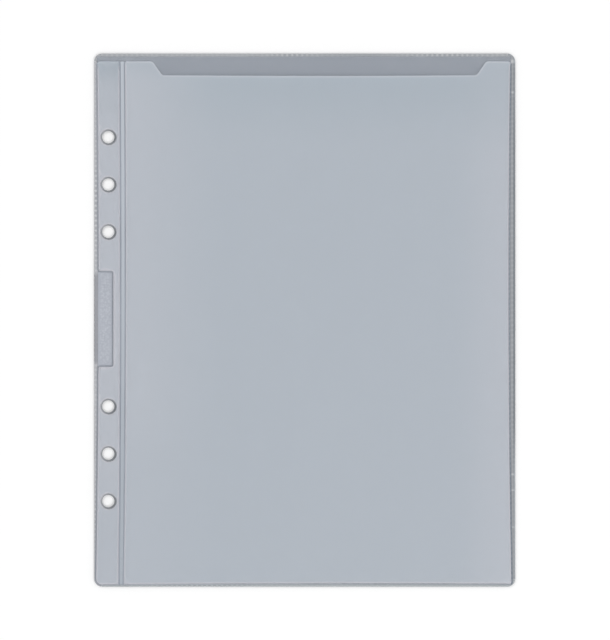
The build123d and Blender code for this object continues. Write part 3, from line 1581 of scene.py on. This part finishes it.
    def look(self, side: Side) -> StripLook:
        """How a side's strip looks.

        Args:
            side: the side.

        Returns:
            Its look.
        """
        if side is Side.LEFT:
            land = self._faded(self._by_label, base=0.6, change=-0.6)
            beat = self._faded(self._knurl_and_glints, base=0.2, change=0.4)
            return StripLook(LIT_LEFT_LAND, LEFT_BEAD, LIT_LEFT_EDGE, land, land, self._left_bead, beat)
        if side is Side.BOTTOM:
            land = self._faded(self._leftward, base=0.6, change=0.0)
            bead = self._faded(self._leftward, base=0.0, change=0.4)
            beat = self._faded(self._low_knurl_and_glints, base=0.15, change=0.5)
            return StripLook(WELD_LAND, BOTTOM_BEAD, WELD_LAND, land, land, bead, beat)
        # The right strip's land and dark edge carry painted shade, which fades towards the page's ends.
        if side is Side.RIGHT:
            return StripLook(
                land=SHADED_RIGHT_LAND,
                bead=EDGE_BEAD,
                edge=SHADED_RIGHT_EDGE,
                land_tone=self._glinted,
                edge_tone=self._to_ends,
                bead_tone=self._right_bead,
                beat=self._faded(self._to_ends, base=0.3, change=-0.15),
                edge_width=0.95 * MM,
                scallop=0.06 * MM,
                bead_beat=0.4,
                bead_width=0.62 * MM,
            )
        tone = self._faded(self._dull, base=0.31, change=-0.12)
        beat = self._faded(self._knurl_and_glints, base=0.25, change=0.33)
        even = StripLook(TOP_HEM, EDGE_BEAD, TOP_HEM, tone, tone, tone, beat)
        return replace(even, scallop=0.08 * MM, lights=(0.85, 0.85, 0.95, 1.0, 1.0, 1.0, 0.95, 0.8))

    @staticmethod
    def _faded(share: Tone, base: float, change: float) -> Tone:
        """A lightness that changes along the strip."""
        return lambda places: base + change * share(places)

    def _by_label(self, places: Path) -> np.ndarray:
        """One beside the label panel, and 0 away from it."""
        low, high = Rise(self.page.label_low, self.label_fade), Rise(self.page.label_high, -self.label_fade)
        return low.at(places[:, 1]) * high.at(places[:, 1])

    def _leftward(self, places: Path) -> np.ndarray:
        """From 0 at the page's right side to 1 at its left side."""
        return Rise(self.page.right, self.page.left - self.page.right).at(places[:, 0])

    def _ends(self, places: Path) -> tuple[np.ndarray, np.ndarray]:
        """One at the page's lower end, and at its upper end, where it starts with a small step."""
        share = places[:, 1] / self.page.top
        return self.low_end.at(share), sum(end.at(share) for end in self.high_ends)

    def _to_ends(self, places: Path) -> np.ndarray:
        """One at the page's lower and upper ends, and 0 between them."""
        return np.sum(self._ends(places), axis=0)

    def _right_bead(self, places: Path) -> np.ndarray:
        """The right bead's lightness: dark towards its ends, the upper one most."""
        return self.right_light - np.tensordot(self.right_dark, self._ends(places), axes=1)

    def _left_bead(self, places: Path) -> np.ndarray:
        """The left bead's lightness: paler up the page, dark round the label panel."""
        paler = self.left_dark + self.left_paler.at(places[:, 1] / self.page.top)
        return paler * (1.0 - self._by_label(places))

    def _knurl_and_glints(self, places: Path) -> np.ndarray:
        """Where the knurl stands out, with deeper scallops and painted glints on its ridges: two stretches up
        the left side, and two along the top.

        Args:
            places: places along the strip.

        Returns:
            How much it stands out at each of them.
        """
        x, y = places[:, 0] / self.page.right, places[:, 1] / self.page.top
        side = sum(swell.at(y) for swell in self.side_knurl_glints)
        top = sum(swell.at(x) for swell in self.top_knurl_glints)
        return np.where(y > self.top_start, top, side)

    def _low_knurl_and_glints(self, places: Path) -> np.ndarray:
        """Where the knurl stands out along the bottom, with deeper scallops and painted glints."""
        return self.low_knurl_glints.at(places[:, 0] / self.page.right)

    def _dull(self, places: Path) -> np.ndarray:
        """Where the top hem is darker."""
        return self.top_dull.at(places[:, 0] / self.page.right)

    def _glinted(self, places: Path) -> np.ndarray:
        """The right land's lightness, with painted glints: small bright spots of reflected light."""
        glints = [self.glint_light * glint.at(places[:, 1]) for glint in self.glints]
        return np.maximum(self.glint_base, np.max(glints, axis=0))

    def land(self, shell: Shell, outer: Path, inner: Path, look: StripLook) -> None:
        """Adds a strip's knurled land: finish 0 on the land, finish 2 along its outer edge.

        Args:
            shell: the mesh in the making.
            outer: the strip's outer points.
            inner: the strip's inner points.
            look: how the strip looks.
        """
        wave = swing(2 * math.pi * np.arange(len(outer)) / self.stations)
        across = inner - outer
        width = np.linalg.norm(across, axis=1)
        beat = look.beat(outer)
        cut = look.scallop * (self.scallop_base + beat) * (1 - wave)
        edge = outer + across / width[:, None] * cut[:, None]
        none = np.zeros_like(width)
        shares = (
            none,
            none,
            np.minimum(self.edge_round / width, self.edge_most[0]),
            np.minimum(look.edge_width / width, self.edge_most[1]),
            *(none + share for share in self.land_slope),
            none + 1.0,
            none + 1.0,
        )
        sunk = self.page.rear_high + self.sunk
        levels = (0.0, self.edge_high, *(self.land_high,) * 3, self.slope_high, sunk, 0.0)
        rows = np.zeros((len(outer), len(shares), 3))
        for j, (share, lift, level) in enumerate(zip(shares, self.lifts, levels)):
            rows[:, j, :2] = edge + (inner - edge) * share[:, None]
            rows[:, j, 2] = level + self.ridge * lift * wave
        light = look.land_tone(outer)[:, None] * np.array(look.lights)
        light[:, :3] = look.edge_tone(outer)[:, None]
        # Painted glints on the knurl's ridges and painted shade in its hollows, strongest where the knurl
        # stands out.
        light = light * (1.0 - beat + self.glint_gain * beat * wave * wave)[:, None]
        shell.add_sweep(rows, self.paints, np.clip(light, 0.0, 1.0))

    def bead(self, side: Side) -> Path | None:
        """The middle line of a side's bead.

        Args:
            side: the side.

        Returns:
            The line's points, or none for the top.
        """
        top = self.page.mouth - self.bead_start
        left, right = self.inner.left(top, label=True), self.inner.right(top)
        low = self.inner.bottom(left[-1, 0], right[0, 0], self.bead_low_step)
        return {Side.LEFT: left, Side.BOTTOM: low, Side.RIGHT: right}.get(side)

    def build(self) -> list[bpy.types.Object]:
        """Builds the four strips.

        Returns:
            The finished pieces.
        """
        return [
            self._strip(Side.LEFT, ("left_edge_weld",)),
            self._strip(Side.BOTTOM, ("margin_bottom_weld", "bottom_edge_weld")),
            self._strip(Side.RIGHT, ("right_edge_weld",)),
            self._strip(Side.TOP, ("margin_top_hem", "top_edge_hem")),
        ]

    def _strip(self, side: Side, nodes: Sequence[str]) -> bpy.types.Object:
        """Builds one strip with its bead.

        Args:
            side: the strip's side.
            nodes: the nodes that it stands for.

        Returns:
            The finished piece.
        """
        shell = Shell()
        look = self.look(side)
        self.land(shell, *self.course(side), look)
        path = self.bead(side)
        if path is not None:
            path = refined(path, self.bead_step)
            rows = Bead(look.bead_width, self.bead_low, self.page.bead_high).rows(path)
            # The bead is painted lighter in step with the knurl: painted glints carried across it.
            beat = swing(2 * math.pi * run_along(path) / self.pitch)
            light = look.bead_tone(path) + look.bead_beat * beat
            shell.add_sweep(rows, (1,) * rows.shape[1], light[:, None])
        hem = side is Side.TOP
        name = "top_hem" if hem else f"{side.value}_weld"
        piece = shell.to_object(name, (look.land, look.bead, look.edge))
        if side is Side.LEFT:
            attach(piece, Body.MARGIN.value)
        elif side is Side.RIGHT:
            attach(piece, Body.POCKET.value)
        else:
            FoldZone(self.page).bend(piece)
        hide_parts(*nodes)
        return piece


@dataclass
class DoubleWeld:
    """The double weld line beside the ring holes: a bead on the fold, a flat strip, a second bead."""

    page: Page
    fold_bead: float = 0.5 * MM
    seam_bead: float = 0.44 * MM
    low: float = 0.205 * MM
    strip_high: float = 0.46 * MM
    strip_crown: float = 0.02 * MM
    seam_drop: float = 0.06 * MM
    run_out: float = 1.3 * MM
    end_step: float = 0.3 * MM
    spacing: float = 3 * MM
    bits: int = 7
    # Painted highlight along the flat strip between the two beads, growing paler up the page.
    strip_highlights: tuple[float, ...] = (1.0, 0.8, 1.0)
    base_light: float = 0.1
    paler: Rise = Rise(-0.85, 1.7, 0.8)

    def build(self) -> bpy.types.Object:
        """Builds the weld.

        Returns:
            The finished piece.
        """
        page = self.page
        low = min(page.corner(page.fold_line)[1], page.corner(page.seam_line)[1])
        full_from = page.mouth - 2 * self.run_out
        end = steps(page.mouth, full_from, self.end_step)[:-1]
        along = np.concatenate((end, steps(full_from, low, self.spacing)))
        fold, seam = page.fold_line.at(along), page.seam_line.at(along)
        rise = (page.bead_high - self.strip_high) * Rise(page.mouth, -self.run_out).at(along)
        seam_share = 1.0 - self.seam_drop / (page.bead_high - self.strip_high)
        flat = np.full(len(along), self.strip_high)
        under = np.full(len(along), self.low)
        arch = np.linspace(-1.0, 1.0, self.bits)
        corners = [(fold - self.fold_bead / 2, under)]
        corners.extend((fold + a * self.fold_bead / 2, flat + rise * dome(a)) for a in arch)
        corners.append(((fold + seam) / 2, flat + self.strip_crown))
        corners.extend((seam + a * self.seam_bead / 2, flat + rise * seam_share * dome(a)) for a in arch)
        corners.append((seam + self.seam_bead / 2, under))
        rows = np.stack([np.column_stack((x, along, z)) for x, z in corners], axis=1)
        paints = [1] * self.bits + [0, 0] + [2] * (self.bits + 1)
        rims = np.array([0.0] * self.bits + [*self.strip_highlights] + [0.0] * self.bits)
        upward = self.base_light + self.paler.at(along / page.top)
        shell = Shell()
        shell.add_sweep(rows, paints, upward[:, None] * rims)
        piece = shell.to_object("double_weld", (SEAM_STRIP, FOLD_BEAD, SEAM_BEAD))
        FoldZone(page).bend(piece)
        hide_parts("fold_weld", "pocket_seam_weld")
        return piece


@dataclass
class LabelPanel:
    """The bare label panel, pressed against the left weld, with a pebbled face."""

    page: Page
    low: float = 0.1 * MM
    high: float = 0.36 * MM
    cell: float = 0.22 * MM
    inset: float = 0.25 * MM
    border: float = 1.3 * MM
    crease: float = 60.0
    pebble_pitch: float = 0.95 * MM
    pebble_stray: float = 0.38
    pebble_radius: float = 0.55 * MM
    pebble_rise: float = 0.035 * MM
    pebble_least: float = 0.35
    seed: int = 11

    def build(self) -> bpy.types.Object:
        """Builds the panel.

        Returns:
            The finished piece.
        """
        page = self.page
        end = page.label_right - self.inset
        up = steps(page.label_low, page.label_high, self.cell)
        count = round((end - page.left_line.base) / self.cell)
        start = page.left_line.at(up)
        x = start[:, None] + (end - start)[:, None] * np.linspace(0.0, 1.0, count + 1)[None, :]
        y = np.repeat(up[:, None], count + 1, axis=1)
        grain = self._pebbles(np.column_stack((x.ravel(), y.ravel()))).reshape(x.shape)
        inward = np.minimum(np.minimum(x - start[:, None], end - x), np.minimum(y - up[0], up[-1] - y))
        grain = grain * ease(inward / self.border)
        shell = Shell()
        face = np.dstack((x, y, self.high + self.pebble_rise * grain))
        back = np.dstack((x, y, np.full_like(x, self.low)))
        # The pebbles' height also sets the rim attribute: pebble tops painted lighter, the hollows between
        # them painted shade.
        top = shell.add_points(face.reshape(-1, 3), grain.ravel())
        low = shell.add_points(back.reshape(-1, 3))
        self._close(shell, np.arange(x.size).reshape(x.shape), top, low)
        piece = shell.to_object("bare_label_panel", (LABEL_FACE,), self.crease)
        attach(piece, Body.MARGIN.value)
        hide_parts("label_panel")
        return piece

    @staticmethod
    def _close(shell: Shell, number: np.ndarray, top: int, low: int) -> None:
        """Joins the panel's points into a closed plate.

        Args:
            shell: the mesh in the making.
            number: the points' numbers, in rows.
            top: the first number on the face.
            low: the first number on the back.
        """
        for k in range(number.shape[0] - 1):
            for j in range(number.shape[1] - 1):
                a, b = number[k, j], number[k, j + 1]
                c, d = number[k + 1, j + 1], number[k + 1, j]
                shell.add_face((top + a, top + b, top + c, top + d))
                shell.add_face((low + d, low + c, low + b, low + a))
        border = [*number[0, :-1], *number[:-1, -1], *number[-1, :0:-1], *number[:0:-1, 0]]
        for here, there in zip(border, border[1:] + border[:1]):
            shell.add_face((top + there, top + here, low + here, low + there))

    def _pebbles(self, places: Path) -> np.ndarray:
        """A pebbled grain.

        Args:
            places: places on the panel.

        Returns:
            The grain's height at each of them, from 0 to 1.
        """
        page, pitch = self.page, self.pebble_pitch
        chance = np.random.default_rng(self.seed)
        across = steps(page.left, page.label_right, pitch)
        middles = grid(across, steps(page.label_low, page.label_high, pitch))
        middles = middles + chance.uniform(-self.pebble_stray, self.pebble_stray, middles.shape) * pitch
        tall = chance.uniform(self.pebble_least, 1.0, len(middles))
        best = np.zeros(len(places))
        for middle, height in zip(middles, tall):
            gap = ((places - middle) ** 2).sum(axis=1) / self.pebble_radius**2
            best = np.maximum(best, height * np.clip(1.0 - gap, 0.0, 1.0))
        return best


@dataclass
class HoleRims:
    """The turned rims of the six ring holes, where the punch has rolled the films together."""

    page: Page
    lip: float = 0.04 * MM
    width: float = 0.7 * MM
    extra: float = 0.3 * MM
    wide_side: float = -22.0
    # The side away from the wide one is painted lighter; the wide side keeps painted shade.
    painted_lit_side: float = 0.24
    underside: float = 0.004 * MM
    foot: tuple[float, float] = (0.03 * MM, 0.1 * MM)
    wall_low: float = 0.12 * MM
    wall_drop: float = 0.24 * MM
    brow: tuple[float, float] = (0.07 * MM, 0.1 * MM)
    rise: float = 0.06 * MM
    crown: tuple[float, float] = (0.18 * MM, 0.3 * MM)
    crown_painted_light: float = 0.03
    roll: float = 0.2 * MM
    roll_shares: tuple[float, float] = (0.35, 0.75)
    throat: float = 0.1 * MM
    throat_drop: float = 0.12 * MM
    throat_low: float = 0.08 * MM
    # The throat's inner wall is painted lighter, lifting the shade inside the hole.
    throat_painted_lights: tuple[float, float] = (0.55, 0.7)
    segments: int = 56

    def profile(self, inner: np.ndarray, outer: np.ndarray) -> list[tuple[np.ndarray, float, float]]:
        """The rim's cross-section all round the hole.

        Args:
            inner: the rim's inner radius at each angle.
            outer: the rim's outer radius at each angle.

        Returns:
            Its corners: their radius at each angle, their height and their painted light.
        """
        top = self.page.front_high + self.rise
        return [
            (inner + self.foot[0], self.underside, 0.0),
            (outer - self.foot[1], self.underside, 0.0),
            (outer, self.wall_low, 0.0),
            (outer, top - self.wall_drop, 0.0),
            (outer - self.brow[0], top - self.brow[1], 0.0),
            (outer - self.crown[0], top, self.crown_painted_light),
            (inner + self.crown[1], top - self.roll_shares[0] * self.roll, self.crown_painted_light),
            (inner + self.throat, top - self.roll_shares[1] * self.roll, 0.0),
            (inner, top - self.throat_drop - self.roll, self.throat_painted_lights[0]),
            (inner, self.throat_low, self.throat_painted_lights[1]),
        ]

    def build(self) -> list[bpy.types.Object]:
        """Builds the rims, wider and with painted shade on one side.

        Returns:
            The finished pieces.
        """
        angles = np.arange(self.segments) * 2 * math.pi / self.segments
        inner = np.full(self.segments, self.page.hole_radius - self.lip)
        facing = swing(angles - math.radians(self.wide_side))
        profile = self.profile(inner, inner + self.width + self.extra * facing * facing)
        lights = np.array([p[2] for p in profile])[None, :] + self.painted_lit_side * (1.0 - facing)[:, None]
        made = []
        for number, (x, y) in enumerate(self.page.holes, 1):
            rows = np.zeros((self.segments, len(profile), 3))
            for j, (radius, level, _) in enumerate(profile):
                rows[:, j, 0] = x + radius * np.cos(angles)
                rows[:, j, 1] = y + radius * np.sin(angles)
                rows[:, j, 2] = level
            shell = Shell()
            shell.add_sweep(rows, (0,) * len(profile), lights, looped=True)
            piece = shell.to_object(f"ring_hole_rim_{number}", (HOLE_RIM,))
            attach(piece, Body.MARGIN.value)
            made.append(piece)
        return made


@dataclass
class Studio:
    """A plain white table under soft light, seen from straight above."""

    camera_place: tuple[float, float, float] = (0.125 * MM, 0.06 * MM, 713.56 * MM)
    lens: float = 100.0
    sensor: float = 36.0
    clip_start: float = 10 * MM
    floor_half: float = 4.0
    floor_drop: float = 0.55 * MM
    floor_white: float = 0.98
    floor_roughness: float = 0.9
    floor_fill: float = 0.06
    sky: float = 0.72
    lamp_side: float = 0.9
    lamps: tuple[tuple[float, Vector], ...] = (
        (9.0, Vector((0.9, -1.0, 1.6))),
        (6.0, Vector((-0.9, 1.0, 1.6))),
    )

    def build(self) -> None:
        """Builds the table, the light and the camera."""
        self._table()
        self._sky()
        for power, place in self.lamps:
            self._lamp(power, place)
        self._camera()

    @staticmethod
    def _seen(bench: NodeBench) -> bpy.types.NodeSocket:
        """One where a ray shows the background: from the camera, or by way of gloss or glass.

        Args:
            bench: the nodes of the table or the sky.

        Returns:
            The socket that says so.
        """
        ray = bench.add("LightPath", {}).outputs
        gloss = bench.sum("MAXIMUM", ray["Is Glossy Ray"], ray["Is Transmission Ray"])
        return bench.sum("MAXIMUM", ray["Is Camera Ray"], gloss)

    def _table(self) -> None:
        """Lays a white table that keeps the page's shadow."""
        half = self.floor_half
        mesh = bpy.data.meshes.new("table")
        corners = [(-half, -half, 0), (half, -half, 0), (half, half, 0), (-half, half, 0)]
        mesh.from_pydata(corners, [], [(0, 1, 2, 3)])
        made = bpy.data.materials.new("table")
        made.use_nodes = True
        bench = NodeBench(made.node_tree)
        look = {
            "Base Color": (*(self.floor_white,) * 3, 1.0),
            "Roughness": self.floor_roughness,
            "Specular IOR Level": 0.0,
            "Emission Color": WHITE,
            "Emission Strength": bench.sum("MULTIPLY", self._seen(bench), self.floor_fill),
        }
        bench.dress(made.node_tree.nodes["Principled BSDF"], look)
        mesh.materials.append(made)
        table = bpy.data.objects.new("table", mesh)
        table.location.z = -self.floor_drop
        bpy.context.scene.collection.objects.link(table)

    def _sky(self) -> None:
        """Surrounds the table with even soft light, white where it is seen."""
        world = bpy.data.worlds.new("studio")
        bpy.context.scene.world = world
        world.use_nodes = True
        bench = NodeBench(world.node_tree)
        nodes = world.node_tree.nodes
        light = bench.dress(nodes["Background"], {"Color": WHITE, "Strength": self.sky}).outputs["Background"]
        white = bench.add("Background", {"Color": WHITE, "Strength": 1.0}).outputs["Background"]
        pick = bench.add("MixShader", {"Fac": self._seen(bench), 1: light, 2: white})
        bench.dress(nodes["World Output"], {"Surface": pick.outputs["Shader"]})

    def _lamp(self, power: float, place: Vector) -> None:
        """Hangs a soft lamp that looks at the page.

        Args:
            power: how strong it is.
            place: where it hangs.
        """
        data = bpy.data.lights.new("lamp", "AREA")
        data.energy = power
        data.size = self.lamp_side
        lamp = bpy.data.objects.new("lamp", data)
        lamp.location = place
        lamp.rotation_mode = "QUATERNION"
        lamp.rotation_quaternion = (-place).to_track_quat("-Z", "Y")
        bpy.context.scene.collection.objects.link(lamp)

    def _camera(self) -> None:
        """Places the camera straight above the page."""
        data = bpy.data.cameras.new("camera")
        data.lens = self.lens
        data.sensor_width = self.sensor
        data.clip_start = self.clip_start
        camera = bpy.data.objects.new("camera", data)
        camera.location = self.camera_place
        bpy.context.scene.collection.objects.link(camera)
        bpy.context.scene.camera = camera


def main() -> None:
    """Builds the page piece by piece, then the studio round it."""
    logging.basicConfig(level=logging.INFO, format="%(name)s: %(message)s")
    bpy.context.scene.view_settings.view_transform = "Standard"
    page = Page.from_frame(frame)
    inner = InnerLine(page)
    pieces = [RearFilm(page, inner).build()]
    pieces.append(FrontMarginFilm(page, inner).build())
    pieces.append(FrontPocketFilm(page, inner).build())
    pieces.extend(EdgeWelds(page, inner).build())
    pieces.append(DoubleWeld(page).build())
    pieces.append(LabelPanel(page).build())
    pieces.extend(HoleRims(page).build())
    for piece in pieces:
        log.info("%s: %d faces", piece.name, len(piece.data.polygons))
    Studio().build()


if __name__ == "__main__":
    main()
